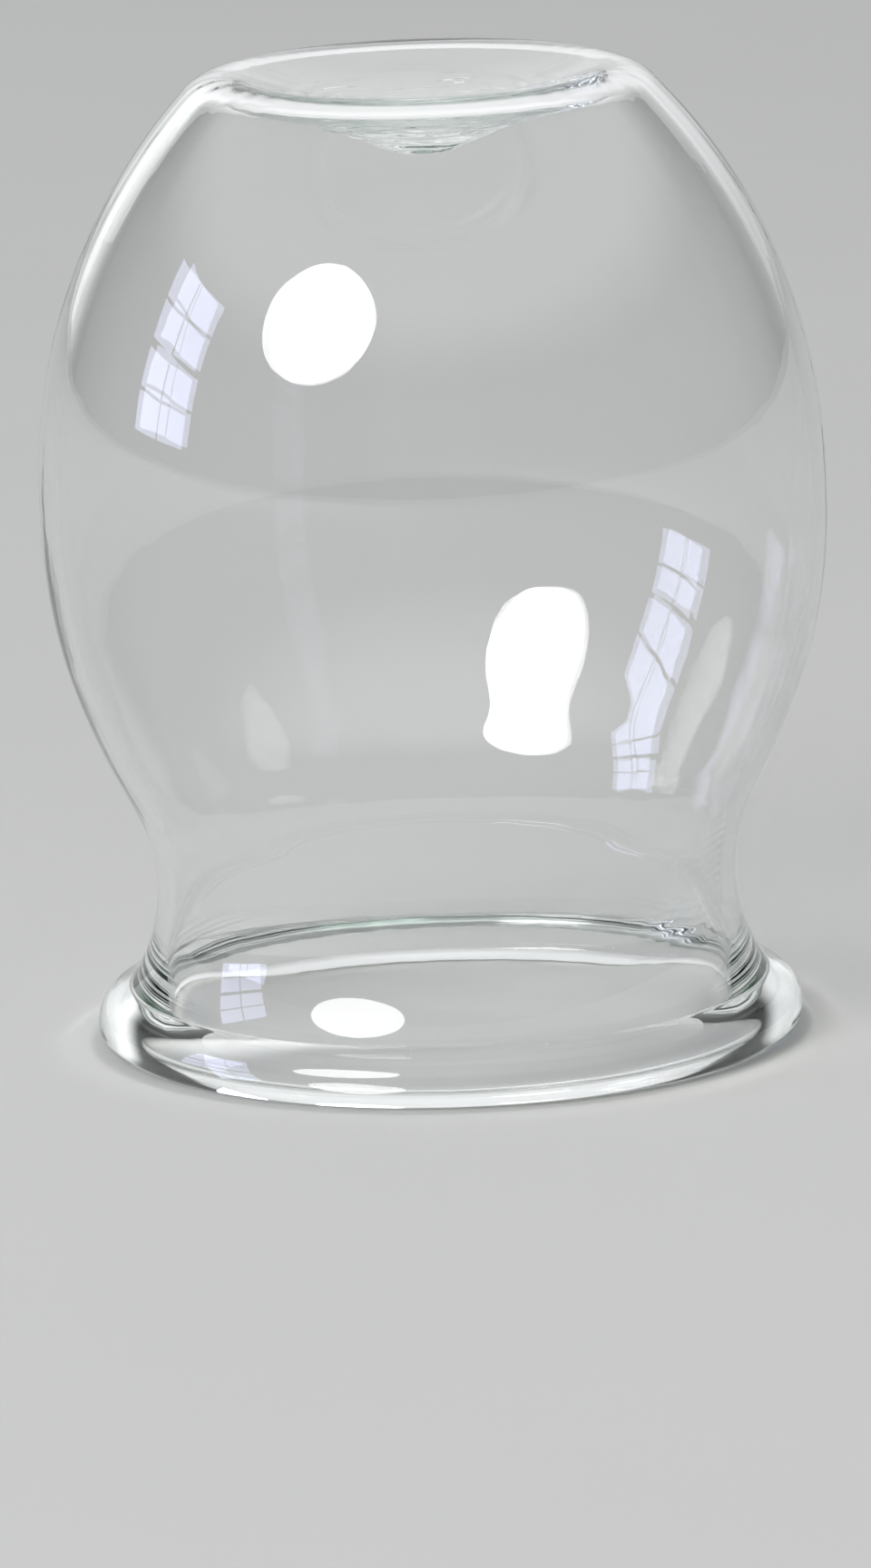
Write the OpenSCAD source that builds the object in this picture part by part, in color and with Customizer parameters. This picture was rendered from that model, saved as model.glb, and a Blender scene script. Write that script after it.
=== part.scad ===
// Hand-blown cupping glass, standing on its mouth. Millimetres, +Z up.
// Origin: centre of the rim's seat. Both pieces are turned about the Z axis.

/* [Rim] */
// How far the rim stands out past the neck
rim_step = 4.9; // [4.6:0.1:6]
// Radius of the rolled glass, in section
roll_r = 2.9; // [2.6:0.1:3.2]
// Depth to which the roll is pressed flat where it stands
seat_flat = 1.35; // [1:0.05:1.7]
// Radius of the edge between the roll and the flat
seat_edge_r = 1.5; // [1.1:0.1:1.8]
// Where the fold's crease lies on the roll, in degrees up from its widest line
crease_angle = 83; // [76:1:88]

/* [Neck] */
// Outer diameter at the narrowest part of the neck
neck_d = 44.2; // [42:0.2:50]
// Height of the narrowest part above the seat
neck_h = 12.2; // [11:0.2:13]
// Thickness of the glass at the neck
neck_wall = 2; // [1.8:0.1:2.4]
// Slope of the bore at the mouth, in degrees
mouth_flare = 10; // [6:1:14]
// Radius of the fire-polished edge inside the mouth
mouth_edge_r = 1.2; // [0.8:0.1:1.4]

/* [Bulb] */
// Height of the whole glass, seat to crown
height = 74.4; // [66:0.2:84]
// Outer diameter at the widest part
bulb_d = 59.8; // [53:0.2:61.6]
// Height of the widest part above the seat
bulb_h = 42; // [39:0.2:46]
// Height of the straight belt at the widest part, between the bulb's two arcs
belt_h = 2; // [1.8:0.1:4]
// Thickness of the blown wall at the widest part
wall = 1.5; // [1.2:0.1:2]

/* [Crown] */
// Diameter of the ring along the top of the crown
crown_d = 30; // [26.5:0.5:33.5]
// Radius of the crown's outer edge
crown_edge_r = 4; // [3:0.25:5]
// Thickness of the glass round that edge
crown_wall = 1.1; // [0.9:0.1:1.6]
// Depth of the dish in the top
dish_depth = 2.4; // [1.6:0.1:2.8]
// Depth of the punt's tip inside, below the crown
punt_depth = 6.6; // [5.6:0.1:7.6]
// Radius of the punt's rounded tip
punt_tip_r = 8; // [6:0.25:9]

/* [Hidden] */
$fn = 180;
cup_colour = [0.80, 0.86, 0.84, 0.45];
rim_colour = [0.72, 0.82, 0.79, 0.55];
// How far one arc of the section laps over the next, so that the two cross in one clean edge
lap = 0.004;
// Length by which a cutting shape runs on past the glass
run_on = 2;

// A point on a circle, by its angle in degrees
function on_circle(centre, radius, angle) = centre + radius * [cos(angle), sin(angle)];
// The angle of the line from one point to another
function bearing(from, to) = atan2(to.y - from.y, to.x - from.x);

// The roll, and the crease where it ends on the neck
rim_r = neck_d / 2 + rim_step;
roll_centre = [rim_r - roll_r, roll_r - seat_flat];
crease = on_circle(roll_centre, roll_r, crease_angle);

// The edge that turns the roll under to its flat
seat_edge_drop = roll_centre.y - seat_edge_r;
seat_edge_in = sqrt((roll_r - seat_edge_r) ^ 2 - seat_edge_drop ^ 2);
seat_edge_centre = [roll_centre.x + seat_edge_in, seat_edge_r];
seat_edge_angle = bearing(roll_centre, seat_edge_centre);

// The neck's hollow, an arc through the crease and the narrowest part
neck_rise = neck_h - crease.y;
neck_step = crease.x - neck_d / 2;
neck_r = (neck_step ^ 2 + neck_rise ^ 2) / (2 * neck_step);
neck_centre = [neck_d / 2 + neck_r, neck_h];

// The bulb's lower arc, from its belt smoothly into the neck's hollow
lower_h = bulb_h - belt_h / 2;
function lower_r(hollow, width) =
    let (in = neck_centre.x - width, rise = lower_h - neck_h)
    (in ^ 2 + rise ^ 2 - hollow ^ 2) / (2 * (hollow - in));

// The bulb's upper arc, from its belt smoothly into the crown's edge
upper_h = bulb_h + belt_h / 2;
edge_centre = [crown_d / 2, height - crown_edge_r];
function upper_r(width, edge) =
    let (in = width - edge_centre.x, rise = edge_centre.y - upper_h)
    (in ^ 2 + rise ^ 2 - edge ^ 2) / (2 * (in - edge));

// The dish in the top, an arc that runs smoothly off the crown's edge
dish_r = (edge_centre.x ^ 2 + dish_depth ^ 2) / (2 * dish_depth) - crown_edge_r;
dish_centre = [0, height - dish_depth + dish_r];
dish_rim = on_circle(edge_centre, crown_edge_r, bearing(edge_centre, dish_centre));

// The inside of the bulb and of the neck's hollow
inner_width = bulb_d / 2 - wall;
inner_neck_r = neck_r + neck_wall;
inner_edge_r = crown_edge_r - crown_wall;

// The punt's flank, a straight line touching its tip and the crown's inner edge
tip_centre = [0, height - punt_depth + punt_tip_r];
flank_span = norm(edge_centre - tip_centre);
flank_slope = bearing(tip_centre, edge_centre) + asin((punt_tip_r + inner_edge_r) / flank_span);
flank_low = on_circle(tip_centre, punt_tip_r, flank_slope - 90);
flank_high = on_circle(edge_centre, inner_edge_r, flank_slope + 90);

// The bore, a straight flare that touches the neck's inner arc, and its rounded edge
bore_top = on_circle(neck_centre, inner_neck_r, 180 + mouth_flare);
function bore_at(h) = [bore_top.x + (bore_top.y - h) * tan(mouth_flare), h];
mouth_edge_in = mouth_edge_r * (1 - sin(mouth_flare)) / cos(mouth_flare);
mouth_edge_centre = [bore_at(0).x + mouth_edge_in, mouth_edge_r];

// A level band of the section, from the axis out to a width
module band(low, high, width) {
    translate([0, low]) square([width, high - low]);
}

module disc(centre, radius) {
    translate(centre) circle(radius);
}

// The neck, the bulb and the crown's edge, as the outside or the inside of the glass
module neck_and_bulb(low, low_width, hollow, width, edge) {
    lower = lower_r(hollow, width);
    lower_centre = [width - lower, lower_h];
    neck_top = on_circle(neck_centre, hollow, bearing(neck_centre, lower_centre));
    upper = upper_r(width, edge);
    upper_centre = [width - upper, upper_h];
    shoulder = on_circle(edge_centre, edge, bearing(upper_centre, edge_centre));
    difference() {
        band(low, neck_top.y, low_width);
        disc(neck_centre, hollow);
    }
    intersection() {
        disc(lower_centre, lower + lap);
        band(neck_h, bulb_h, bulb_d);
    }
    band(lower_h, upper_h, width);
    intersection() {
        disc(upper_centre, upper + lap);
        band(bulb_h, shoulder.y, bulb_d);
    }
    disc(edge_centre, edge + 2 * lap);
}

// The outside of the cup, as a solid section
module outside() {
    difference() {
        union() {
            neck_and_bulb(0, crease.x, neck_r, bulb_d / 2, crown_edge_r);
            band(bulb_h, dish_rim.y, dish_rim.x);
        }
        disc(dish_centre, dish_r);
    }
}

// The punt, the glass that hangs down inside the crown
module punt() {
    flank_end = flank_high + run_on * [cos(flank_slope), sin(flank_slope)];
    disc(tip_centre, punt_tip_r + lap);
    polygon([tip_centre, flank_low, flank_end, [flank_end.x, tip_centre.y]]);
}

// The flared bore below the neck
module bore() {
    low = bore_at(-run_on);
    high = bore_at(bore_top.y + run_on);
    polygon([[0, low.y], low + [lap, 0], high + [lap, 0], [0, high.y]]);
}

// The air inside the cup, open at the mouth
module inside() {
    difference() {
        union() {
            bore();
            neck_and_bulb(bore_top.y, neck_centre.x, inner_neck_r, inner_width, inner_edge_r);
            band(bulb_h, flank_high.y, flank_high.x);
        }
        punt();
    }
}

// The corner that fire polishing takes off the mouth's inner edge
module mouth_corner() {
    difference() {
        polygon([
            on_circle(mouth_edge_centre, mouth_edge_r, 180 + mouth_flare),
            bore_at(0) - [run_on, run_on],
            [mouth_edge_centre.x, -run_on],
            mouth_edge_centre
        ]);
        disc(mouth_edge_centre, mouth_edge_r + lap);
    }
}

// Blown wall: crown with its punt, bulb, neck and flared mouth
module blown_cup() {
    color(cup_colour)
        rotate_extrude()
            difference() {
                outside();
                inside();
                mouth_corner();
            }
}

// The corner that is rounded off where the roll turns under to its flat
module seat_corner() {
    difference() {
        polygon([
            seat_edge_centre,
            [seat_edge_centre.x, -run_on],
            [rim_r + run_on, -run_on],
            on_circle(seat_edge_centre, seat_edge_r + run_on, seat_edge_angle)
        ]);
        disc(seat_edge_centre, seat_edge_r + lap);
    }
}

// Roll of glass turned out and up at the mouth, lying against the foot of the neck
module folded_rim() {
    color(rim_colour)
        rotate_extrude()
            difference() {
                intersection() {
                    disc(roll_centre, roll_r);
                    translate([crease.x, 0]) square(2 * roll_r);
                }
                seat_corner();
            }
}

blown_cup();
folded_rim();
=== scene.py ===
import math

import bmesh
import bpy
from mathutils import Matrix, Vector, noise


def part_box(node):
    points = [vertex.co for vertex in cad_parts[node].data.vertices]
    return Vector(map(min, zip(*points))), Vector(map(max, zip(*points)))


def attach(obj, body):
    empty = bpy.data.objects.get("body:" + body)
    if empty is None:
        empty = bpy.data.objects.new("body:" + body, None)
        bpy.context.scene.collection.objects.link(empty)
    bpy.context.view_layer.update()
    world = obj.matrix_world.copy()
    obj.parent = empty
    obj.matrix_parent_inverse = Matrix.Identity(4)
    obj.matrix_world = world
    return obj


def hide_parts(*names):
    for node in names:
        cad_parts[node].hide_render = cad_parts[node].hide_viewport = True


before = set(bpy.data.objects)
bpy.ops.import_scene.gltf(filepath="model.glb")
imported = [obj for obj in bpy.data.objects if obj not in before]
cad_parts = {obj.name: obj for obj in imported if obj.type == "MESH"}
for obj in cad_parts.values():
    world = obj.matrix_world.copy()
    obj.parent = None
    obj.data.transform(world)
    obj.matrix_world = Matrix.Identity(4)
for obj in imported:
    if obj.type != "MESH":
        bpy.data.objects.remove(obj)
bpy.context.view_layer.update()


# ---- Crown ----
# The closed end of the cup, where the gather of glass hung from the pipe.
# Its middle sank while soft, so the top is a shallow dish inside a broad rounded edge.
mm = 0.001
cup_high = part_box("blown_cup")[1]
height = cup_high[2]
crown_ring = 15.0 * mm
crown_edge = 4.0 * mm
dish_depth = 2.4 * mm
crown_pitch = 0.30 * mm

outside = []


def arc(centre, radius, start, end, pitch):
    """Points along an arc of the section, from one angle to another, both in degrees."""
    steps = max(2, round(math.radians(abs(end - start)) * radius / pitch))
    angles = [math.radians(start + (end - start) * step / steps) for step in range(steps)]
    return [(centre[0] + radius * math.cos(a), centre[1] + radius * math.sin(a)) for a in angles]


def line(start, end, pitch):
    """Points along a straight stretch of the section."""
    steps = max(1, round(math.dist(start, end) / pitch))
    shares = [step / steps for step in range(steps)]
    return [tuple(a + (b - a) * share for a, b in zip(start, end)) for share in shares]


def bearing(start, end):
    """Angle of the line from one point of the section to another, in degrees."""
    return math.degrees(math.atan2(end[1] - start[1], end[0] - start[0]))


edge_centre = (crown_ring, height - crown_edge)
dish = (crown_ring**2 + dish_depth**2) / (2 * dish_depth) - crown_edge
dish_centre = (0.0, height - dish_depth + dish)
dish_end = bearing(dish_centre, edge_centre)

# ---- Bulb ----
# The blown body that holds the air. It was blown free, so the wall wanders a little from a true round.
# Two arcs meet at a short straight belt, the widest part of the cup.
bulb = cup_high[0]
belt_low = 41.0 * mm
belt_high = 43.0 * mm
wall = 1.3 * mm
bulb_pitch = 0.55 * mm

upper_in = bulb - edge_centre[0]
upper_rise = edge_centre[1] - belt_high
upper = (upper_in**2 + upper_rise**2 - crown_edge**2) / (2 * (upper_in - crown_edge))
upper_centre = (bulb - upper, belt_high)
shoulder = bearing(upper_centre, edge_centre)

outside += arc(dish_centre, dish, -90, dish_end, crown_pitch)
outside += arc(edge_centre, crown_edge, dish_end + 180, shoulder, crown_pitch)
outside += arc(upper_centre, upper, shoulder, 0, bulb_pitch)
outside += line((bulb, belt_high), (bulb, belt_low), bulb_pitch)

# ---- Rim ----
# The lip of the mouth, turned out and up while hot so that it lies against the neck as a smooth roll.
# It is fused to the cup, and the crease where it ends shows as a line round the foot of the neck.
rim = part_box("folded_rim")[1][0]
roll = 2.9 * mm
seat_flat = 1.35 * mm
crease_angle = 83
crease_fill = 0.35 * mm
fill_pitch = crease_fill / 6
seat_edge = 1.5 * mm
rim_pitch = 0.22 * mm

roll_centre = (rim - roll, roll - seat_flat)
crease = (
    roll_centre[0] + roll * math.cos(math.radians(crease_angle)),
    roll_centre[1] + roll * math.sin(math.radians(crease_angle)),
)

# ---- Neck ----
# The waist below the bulb, drawn in with jacks while the glass was turned.
# The blades left fine level marks on its outside; the bore inside is smooth and flares to the mouth.
neck = 22.1 * mm
neck_height = 12.2 * mm
mouth_flare = 14
mouth_edge = 1.8 * mm
neck_pitch = 0.20 * mm

neck_step = crease[0] - neck
neck_rise = neck_height - crease[1]
hollow = (neck_step**2 + neck_rise**2) / (2 * neck_step)
hollow_centre = (neck + hollow, neck_height)

lower_in = hollow_centre[0] - bulb
lower_rise = belt_low - neck_height
lower = (lower_in**2 + lower_rise**2 - hollow**2) / (2 * (hollow - lower_in))
lower_centre = (bulb - lower, belt_low)
neck_end = bearing(lower_centre, hollow_centre)


def touching(first, first_reach, second, second_reach):
    """Centre of a round at set distances from two centres of the section, left of the line between them."""
    span = math.dist(first, second)
    along = (first_reach**2 - second_reach**2 + span**2) / (2 * span)
    aside = math.sqrt(first_reach**2 - along**2)
    way = ((second[0] - first[0]) / span, (second[1] - first[1]) / span)
    return (first[0] + way[0] * along - way[1] * aside, first[1] + way[1] * along + way[0] * aside)


fill_centre = touching(roll_centre, roll + crease_fill, hollow_centre, hollow - crease_fill)
fill_top = bearing(hollow_centre, fill_centre) % 360
fill_foot = bearing(roll_centre, fill_centre)
outside += arc(lower_centre, lower, 0, neck_end, neck_pitch * 2)
outside += arc(hollow_centre, hollow, neck_end + 180, fill_top, neck_pitch)
outside += arc(fill_centre, crease_fill, fill_top, fill_foot + 180, fill_pitch)

seat_in = math.sqrt((roll - seat_edge) ** 2 - (roll_centre[1] - seat_edge) ** 2)
seat_centre = (roll_centre[0] + seat_in, seat_edge)
seat_start = bearing(roll_centre, seat_centre)
outside += arc(roll_centre, roll, fill_foot, seat_start, rim_pitch)
outside += arc(seat_centre, seat_edge, seat_start, -90, rim_pitch)

inner_hollow = hollow + wall
bore_top = (
    hollow_centre[0] - inner_hollow * math.cos(math.radians(mouth_flare)),
    hollow_centre[1] - inner_hollow * math.sin(math.radians(mouth_flare)),
)
mouth_in = bore_top[0] + bore_top[1] * math.tan(math.radians(mouth_flare))
mouth_share = (1 - math.sin(math.radians(mouth_flare))) / math.cos(math.radians(mouth_flare))
mouth_centre = (mouth_in + mouth_edge * mouth_share, mouth_edge)
outside += line((seat_centre[0], 0.0), (mouth_centre[0], 0.0), rim_pitch)

inside = arc(mouth_centre, mouth_edge, -90, -180 + mouth_flare, rim_pitch)
mouth_end = (
    mouth_centre[0] - mouth_edge * math.cos(math.radians(mouth_flare)),
    mouth_centre[1] - mouth_edge * math.sin(math.radians(mouth_flare)),
)
inside += line(mouth_end, bore_top, neck_pitch)
inside += arc(hollow_centre, inner_hollow, 180 + mouth_flare, neck_end + 180, neck_pitch)
inside += arc(lower_centre, lower - wall, neck_end, 0, neck_pitch * 2)
inside += line((bulb - wall, belt_low), (bulb - wall, belt_high), bulb_pitch)

# ---- Punt ----
# The glass that sank at the crown and hangs inside the cup as a blunt cone.
# It chilled as it sank, which left rings round it like ripples.
punt_depth = 6.6 * mm
punt_tip = 8.0 * mm
punt_pitch = 0.20 * mm

inner_edge = crown_edge - wall
tip_centre = (0.0, height - punt_depth + punt_tip)
flank_span = math.dist(edge_centre, tip_centre)
flank = bearing(tip_centre, edge_centre) + math.degrees(math.asin((punt_tip + inner_edge) / flank_span))
flank_high = arc(edge_centre, inner_edge, flank + 90, flank, punt_pitch)[0]
flank_low = arc(tip_centre, punt_tip, flank - 90, -90, punt_pitch)[0]

inside += arc(upper_centre, upper - wall, 0, shoulder, bulb_pitch)
inside += arc(edge_centre, inner_edge, shoulder, flank + 90, crown_pitch)
inside += line(flank_high, flank_low, punt_pitch)
inside += arc(tip_centre, punt_tip, flank - 90, -90, punt_pitch)
inside.append((0.0, height - punt_depth))

# ---- The glass ----
# One gather of clear soda-lime glass, blown, drawn in at the neck, folded at the mouth and fire-polished.
# It has no joint or seam, so one closed mesh stands for the cup and its rim together.
turns = 256
ease_low = 11 * mm
ease_high = 30 * mm
ease_fade = 5 * mm
ease_share = 0.5
ease_passes = 90
held_share = 0.15
held_fade = 14 * mm
axis_fade = 2 * mm
wave = 0.10 * mm
wave_size = 22 * mm
inner_wave = 0.03 * mm
inner_wave_size = 15 * mm
inner_wave_seed = Vector((31, 17, 5))
streak = 0.012 * mm
streaks_round = 11
streak_length = 45 * mm
inner_streak_seed = Vector((19, 0, 40))
jack_mark = 0.010 * mm
jack_gap = 0.75 * mm
jack_low = 5 * mm
jack_high = 19 * mm
jack_fade = 3 * mm
jack_drift = 1.5
jack_drift_size = 0.35
jack_drift_seed = Vector((7, 3, 0))
jack_patch_share = 0.35
jack_patches_round = 3
jack_patch_height = 2 * mm
jack_left_share = 0.05
jack_side_start = 0.5
jack_side_fade = 0.5
chill_ring = 0.11 * mm
chill_gap = 1.7 * mm
chill_start = 0.5 * mm
chill_end = 12 * mm
chill_fade = 3 * mm
chill_drift = 0.6
chill_drifts_round = 1.6
chill_drift_width = 4 * mm
chill_patch_mean = 0.7
chill_patch_swing = 0.6
chill_patches_round = 2.5
chill_patch_width = 1.2 * mm
chill_patch_seed = 9
lean = -0.004


def bump_between(value, low, high, soft):
    """1 between two values and 0 outside them, with soft ends."""
    rise = min(max((value - low) / soft, 0), 1)
    fall = min(max((high - value) / soft, 0), 1)
    share = min(rise, fall)
    return share * share * (3 - 2 * share)


def free_blown(level):
    """How far the glass was left to itself at a level: fully in the bulb, hardly at the neck and the rim."""
    return held_share + (1 - held_share) * bump_between(level, neck_height, 2 * height, held_fade)


def turned(reach, angle, level):
    """A point at a reach from the axis, turned about it by an angle."""
    return Vector((reach * math.cos(angle), reach * math.sin(angle), level))


def wander(angle, reach, level):
    """How far the wall as a whole stands off its true section, outside and inside alike."""
    return wave * free_blown(level) * noise.noise(turned(reach, angle, level) / wave_size)


def outer_lift(angle, reach, level):
    """How far the outside of the hand-made cup stands off its true section."""
    around = turned(streaks_round, angle, level / streak_length)
    lift = wander(angle, reach, level) + streak * free_blown(level) * noise.noise(around)
    on_neck = bump_between(level, jack_low, jack_high, jack_fade)
    if on_neck:
        drift = jack_drift * noise.noise(around * jack_drift_size + jack_drift_seed)
        spot = turned(jack_patches_round, angle, level / jack_patch_height)
        patch = jack_patch_share + (1 - jack_patch_share) * noise.noise(spot)
        on_right = bump_between(math.cos(angle), jack_side_start, 2, jack_side_fade)
        side = jack_left_share + (1 - jack_left_share) * on_right
        lift += jack_mark * side * on_neck * patch * math.sin(math.tau * (level / jack_gap + drift))
    return lift * min(reach / axis_fade, 1)


def inner_lift(angle, reach, level):
    """The same for the inside, with the punt's chill rings."""
    around = turned(streaks_round, angle, level / streak_length)
    lift = inner_wave * noise.noise(turned(reach, angle, level) / inner_wave_size + inner_wave_seed)
    lift += streak * noise.noise(around + inner_streak_seed)
    lift = lift * free_blown(level) - wander(angle, reach, level)
    on_punt = bump_between(reach, chill_start, chill_end, chill_fade)
    if on_punt:
        drift = chill_drift * noise.noise(turned(chill_drifts_round, angle, reach / chill_drift_width))
        spot = turned(chill_patches_round, angle, reach / chill_patch_width + chill_patch_seed)
        patch = chill_patch_mean + chill_patch_swing * noise.noise(spot)
        lift += chill_ring * on_punt * patch * math.sin(math.tau * (reach / chill_gap + drift))
    return lift * min(reach / axis_fade, 1)


def spun(mesh, points, lift):
    """Rings of vertices for a run of the section, each point moved along its normal by the lift there."""
    rings = []
    for index, (reach, level) in enumerate(points):
        before = points[max(index - 1, 0)]
        after = points[min(index + 1, len(points) - 1)]
        along = Vector((after[0] - before[0], after[1] - before[1])).normalized()
        out, up = -along.y, along.x
        ring = []
        for turn in range(turns):
            angle = math.tau * turn / turns
            rise = lift(angle, reach, level)
            width = reach + out * rise
            tall = max(level + up * rise, 0)
            across = width * math.cos(angle) + lean * tall
            ring.append(mesh.verts.new((across, width * math.sin(angle), tall)))
        rings.append(ring)
    return rings


def eased(points):
    """The section with the neck run gently into the bulb, as soft glass does."""
    for _ in range(ease_passes):
        moved = list(points)
        for index in range(1, len(points) - 1):
            before, here, after = points[index - 1 : index + 2]
            share = ease_share * bump_between(here[1], ease_low, ease_high, ease_fade)
            moved[index] = tuple(h + share * ((b + a) / 2 - h) for b, h, a in zip(before, here, after))
        points = moved
    return points


outside = eased(outside)
inside = eased(inside)
cup = bmesh.new()
rings = spun(cup, outside[1:], outer_lift) + spun(cup, inside[:-1], inner_lift)
crown_middle = cup.verts.new((lean * outside[0][1], 0, outside[0][1]))
punt_middle = cup.verts.new((lean * inside[-1][1], 0, inside[-1][1]))
for turn in range(turns):
    after = (turn + 1) % turns
    cup.faces.new((crown_middle, rings[0][turn], rings[0][after]))
    cup.faces.new((punt_middle, rings[-1][after], rings[-1][turn]))
    for upper_ring, lower_ring in zip(rings, rings[1:]):
        cup.faces.new((upper_ring[turn], lower_ring[turn], lower_ring[after], upper_ring[after]))
bmesh.ops.recalc_face_normals(cup, faces=cup.faces)
for face in cup.faces:
    face.smooth = True
glass_mesh = bpy.data.meshes.new("cupping_glass")
cup.to_mesh(glass_mesh)
cup.free()
cupping_glass = bpy.data.objects.new("cupping_glass", glass_mesh)
bpy.context.collection.objects.link(cupping_glass)

clear_glass = bpy.data.materials.new("clear_glass")
clear_glass.use_nodes = True
nodes = clear_glass.node_tree.nodes
links = clear_glass.node_tree.links
surface = nodes["Principled BSDF"]
surface.inputs["Base Color"].default_value = (1.0, 1.0, 1.0, 1)
surface.inputs["Transmission Weight"].default_value = 1
surface.inputs["IOR"].default_value = 1.52
where = nodes.new("ShaderNodeTexCoord")
smear = nodes.new("ShaderNodeTexNoise")
smear.inputs["Scale"].default_value = 55
smear.inputs["Detail"].default_value = 4
polish = nodes.new("ShaderNodeMapRange")
polish.inputs["From Min"].default_value = 0.45
polish.inputs["From Max"].default_value = 0.85
polish.inputs["To Min"].default_value = 0.0
polish.inputs["To Max"].default_value = 0.03
skin = nodes.new("ShaderNodeTexNoise")
skin.inputs["Scale"].default_value = 260
skin.inputs["Detail"].default_value = 2
fire_skin = nodes.new("ShaderNodeBump")
fire_skin.inputs["Strength"].default_value = 0.10
fire_skin.inputs["Distance"].default_value = 0.05 * mm
body = nodes.new("ShaderNodeVolumeAbsorption")
body.inputs["Color"].default_value = (0.74, 0.93, 0.84, 1)
body.inputs["Density"].default_value = 14
links.new(where.outputs["Object"], smear.inputs["Vector"])
links.new(where.outputs["Object"], skin.inputs["Vector"])
links.new(smear.outputs["Fac"], polish.inputs["Value"])
links.new(polish.outputs["Result"], surface.inputs["Roughness"])
links.new(skin.outputs["Fac"], fire_skin.inputs["Height"])
links.new(fire_skin.outputs["Normal"], surface.inputs["Normal"])
links.new(body.outputs["Volume"], nodes["Material Output"].inputs["Volume"])
glass_mesh.materials.append(clear_glass)

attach(cupping_glass, "root")
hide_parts("blown_cup", "folded_rim")

# ---- Floor ----
# A plain pale table top, matt and a little uneven in tone. It runs on past the picture on every side.
floor_reach = 3.5
floor_sides = 96
floor_drop = 0.05 * mm
floor_mesh = bpy.data.meshes.new("floor")
table = bmesh.new()
bmesh.ops.create_circle(table, cap_ends=True, segments=floor_sides, radius=floor_reach)
table.to_mesh(floor_mesh)
table.free()
floor = bpy.data.objects.new("floor", floor_mesh)
floor.location = (0, 0, -floor_drop)
bpy.context.collection.objects.link(floor)

table_top = bpy.data.materials.new("table_top")
table_top.use_nodes = True
nodes = table_top.node_tree.nodes
links = table_top.node_tree.links
surface = nodes["Principled BSDF"]
surface.inputs["Specular IOR Level"].default_value = 0
surface.inputs["Roughness"].default_value = 1
where = nodes.new("ShaderNodeTexCoord")
mottle = nodes.new("ShaderNodeTexNoise")
mottle.inputs["Scale"].default_value = 9
mottle.inputs["Detail"].default_value = 5
shade = nodes.new("ShaderNodeMix")
shade.data_type = "RGBA"
shade.inputs["A"].default_value = (0.475, 0.475, 0.463, 1)
shade.inputs["B"].default_value = (0.505, 0.505, 0.492, 1)
links.new(where.outputs["Object"], mottle.inputs["Vector"])
links.new(mottle.outputs["Fac"], shade.inputs["Factor"])
links.new(shade.outputs["Result"], surface.inputs["Base Color"])
floor_mesh.materials.append(table_top)

# ---- Light ----
# A plain room with a light ceiling and a pale wall behind, brightest on the left; the other walls are dark.
# An oval lamp in front on the left and a sash window farther round show in the glass as highlights.
lamp_way = Vector((-0.525, -0.662, 0.535)).normalized()
lamp_distance = 1.5
lamp_wide = 0.594 * lamp_distance
lamp_tall = 0.411 * lamp_distance
lamp_tilt = 12.7
lamp_strength = 11.0
window_bearing = 88
window_rise = 15.5
window_distance = 2.0
sash_wide = 0.70
sash_tall = 0.43
glazing_bar = 0.02
meeting_rail = 0.05
window_strength = 5.4
daylight = (0.68, 0.71, 1.0)
lit_point = Vector((0, 0, 0.054))


def soft_lamp(name, shape, wide, tall, strength, colour, place, turn):
    """A flat lamp of a set brightness, turned to face the glass."""
    lamp = bpy.data.lights.new(name, "AREA")
    lamp.shape = shape
    lamp.size = wide
    lamp.size_y = tall
    filled = math.pi / 4 if shape == "ELLIPSE" else 1
    lamp.energy = strength * math.pi * wide * tall * filled
    lamp.color = colour
    holder = bpy.data.objects.new(name, lamp)
    holder.matrix_world = Matrix.Translation(place) @ turn.to_4x4()
    bpy.context.collection.objects.link(holder)


lamp_turn = (-lamp_way).to_track_quat("-Z", "Y").to_matrix()
lamp_turn = lamp_turn @ Matrix.Rotation(math.radians(lamp_tilt), 3, "Z")
lamp_place = lit_point + lamp_way * lamp_distance
lamp_white = (1, 1, 1)
soft_lamp("oval_lamp", "ELLIPSE", lamp_wide, lamp_tall, lamp_strength, lamp_white, lamp_place, lamp_turn)

window_level = math.cos(math.radians(window_rise))
window_way = Vector(
    (
        -window_level * math.sin(math.radians(window_bearing)),
        -window_level * math.cos(math.radians(window_bearing)),
        math.sin(math.radians(window_rise)),
    )
)
window_turn = (-window_way).to_track_quat("-Z", "Y").to_matrix()
pane_wide = (sash_wide - glazing_bar) / 2
pane_tall = (sash_tall - glazing_bar) / 2
for sash in (-1, 1):
    for row in (-1, 1):
        for column in (-1, 1):
            aside = column * (pane_wide + glazing_bar) / 2
            over = sash * (sash_tall + meeting_rail) / 2 + row * (pane_tall + glazing_bar) / 2
            place = lit_point + window_way * window_distance + window_turn @ Vector((aside, over, 0))
            soft_lamp(
                f"pane_{sash}_{row}_{column}",
                "RECTANGLE",
                pane_wide,
                pane_tall,
                window_strength,
                daylight,
                place,
                window_turn,
            )

room = bpy.data.worlds.new("room")
bpy.context.scene.world = room
room.use_nodes = True
nodes = room.node_tree.nodes
links = room.node_tree.links
where = nodes.new("ShaderNodeTexCoord")
split = nodes.new("ShaderNodeSeparateXYZ")


def graded(low, high, dark, light):
    """A smooth change of brightness from one direction to another."""
    grade = nodes.new("ShaderNodeMapRange")
    grade.interpolation_type = "SMOOTHSTEP"
    for name, value in (("From Min", low), ("From Max", high), ("To Min", dark), ("To Max", light)):
        grade.inputs[name].default_value = value
    return grade


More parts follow.
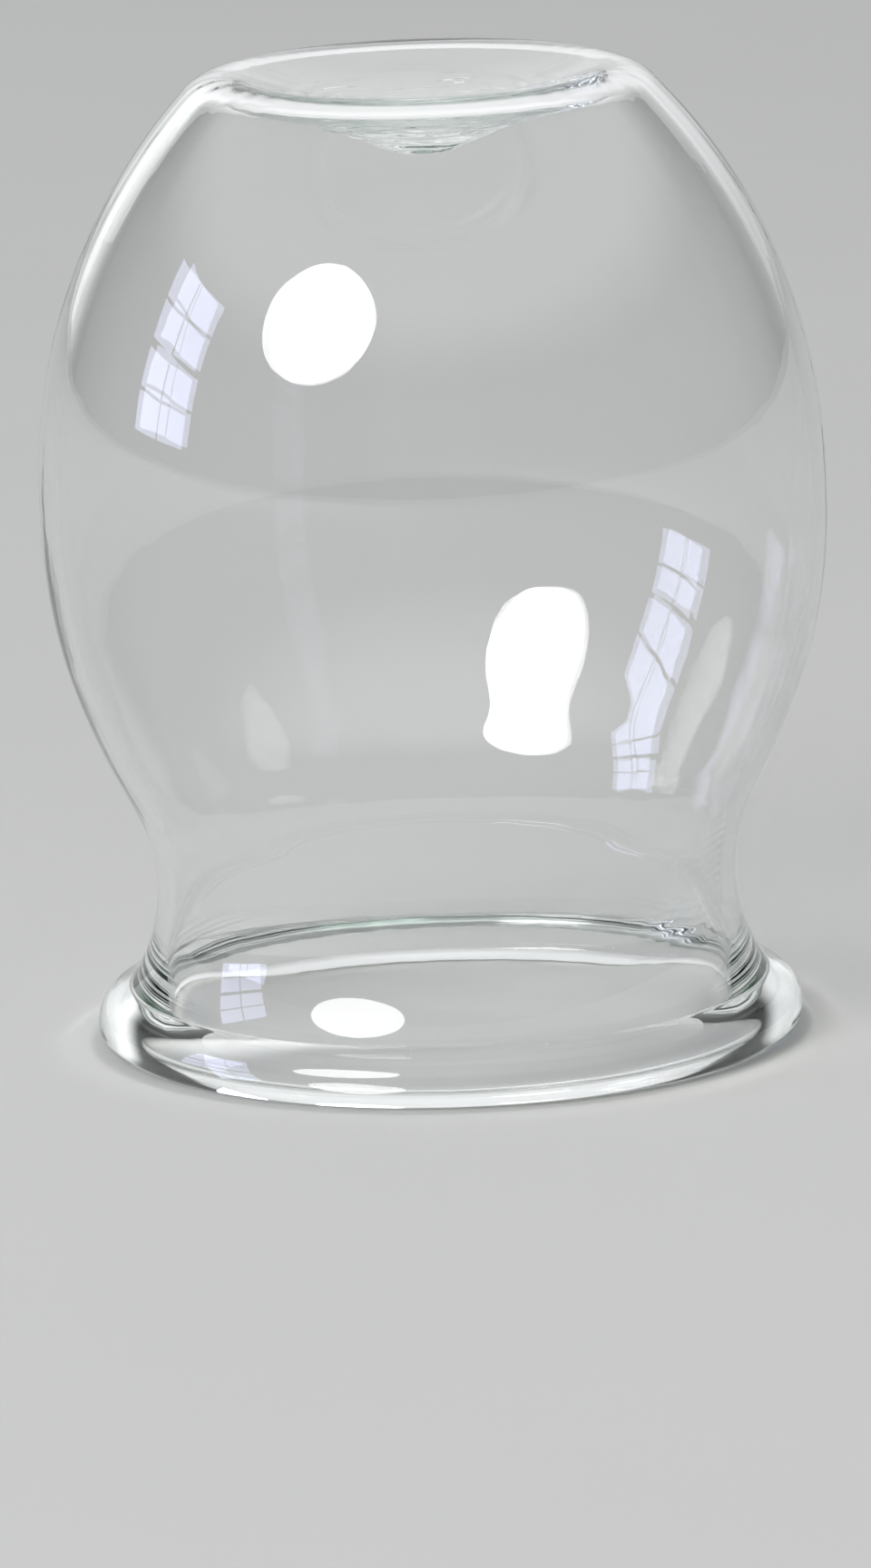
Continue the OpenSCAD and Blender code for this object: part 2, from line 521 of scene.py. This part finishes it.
def product(first, second):
    """Two brightnesses multiplied."""
    times = nodes.new("ShaderNodeMath")
    times.operation = "MULTIPLY"
    links.new(first, times.inputs[0])
    links.new(second, times.inputs[1])
    return times.outputs["Value"]


back_wall = graded(0.74, 0.90, 0.03, 0.95)
lit_from_above = graded(0.0, 0.25, 0.68, 1.0)
lit_from_left = graded(-0.45, -0.05, 1.55, 0.95)
ceiling = graded(0.35, 0.65, 0.0, 1.0)
brightness = nodes.new("ShaderNodeMix")
brightness.inputs["B"].default_value = 1.0
links.new(where.outputs["Generated"], split.inputs["Vector"])
for axis, grade in (("X", lit_from_left), ("Y", back_wall), ("Z", lit_from_above), ("Z", ceiling)):
    links.new(split.outputs[axis], grade.inputs["Value"])
wall_light = product(back_wall.outputs["Result"], lit_from_above.outputs["Result"])
links.new(product(wall_light, lit_from_left.outputs["Result"]), brightness.inputs["A"])
links.new(ceiling.outputs["Result"], brightness.inputs["Factor"])
links.new(brightness.outputs["Result"], nodes["Background"].inputs["Strength"])
nodes["Background"].inputs["Color"].default_value = (0.98, 0.99, 1.0, 1)

# ---- Camera ----
# At the photograph's angle: a long lens, about twelve degrees above the table, held slightly out of level.
camera_distance = 0.9
camera_pitch = 12.0
camera_roll = 1.73
picture_centre = Vector((-0.66 * mm, 0, 19.24 * mm))
pixels_tall = 1728
pixels_per_metre = 14436
film = 36.0

eye = bpy.data.cameras.new("camera")
eye.sensor_fit = "AUTO"
eye.sensor_width = film
eye.lens = camera_distance * pixels_per_metre * film / pixels_tall
camera = bpy.data.objects.new("camera", eye)
back = Vector((0, -math.cos(math.radians(camera_pitch)), math.sin(math.radians(camera_pitch))))
camera.location = picture_centre + back * camera_distance
level_view = Matrix.Rotation(math.radians(90 - camera_pitch), 4, "X")
camera.rotation_euler = (level_view @ Matrix.Rotation(math.radians(-camera_roll), 4, "Z")).to_euler()
bpy.context.collection.objects.link(camera)
bpy.context.scene.camera = camera

scene = bpy.context.scene
scene.view_settings.view_transform = "Standard"
# Light crosses the glass many times, and it stays sharp on its way through to the table.
scene.cycles.max_bounces = 48
scene.cycles.transmission_bounces = 48
scene.cycles.glossy_bounces = 24
scene.cycles.blur_glossy = 0
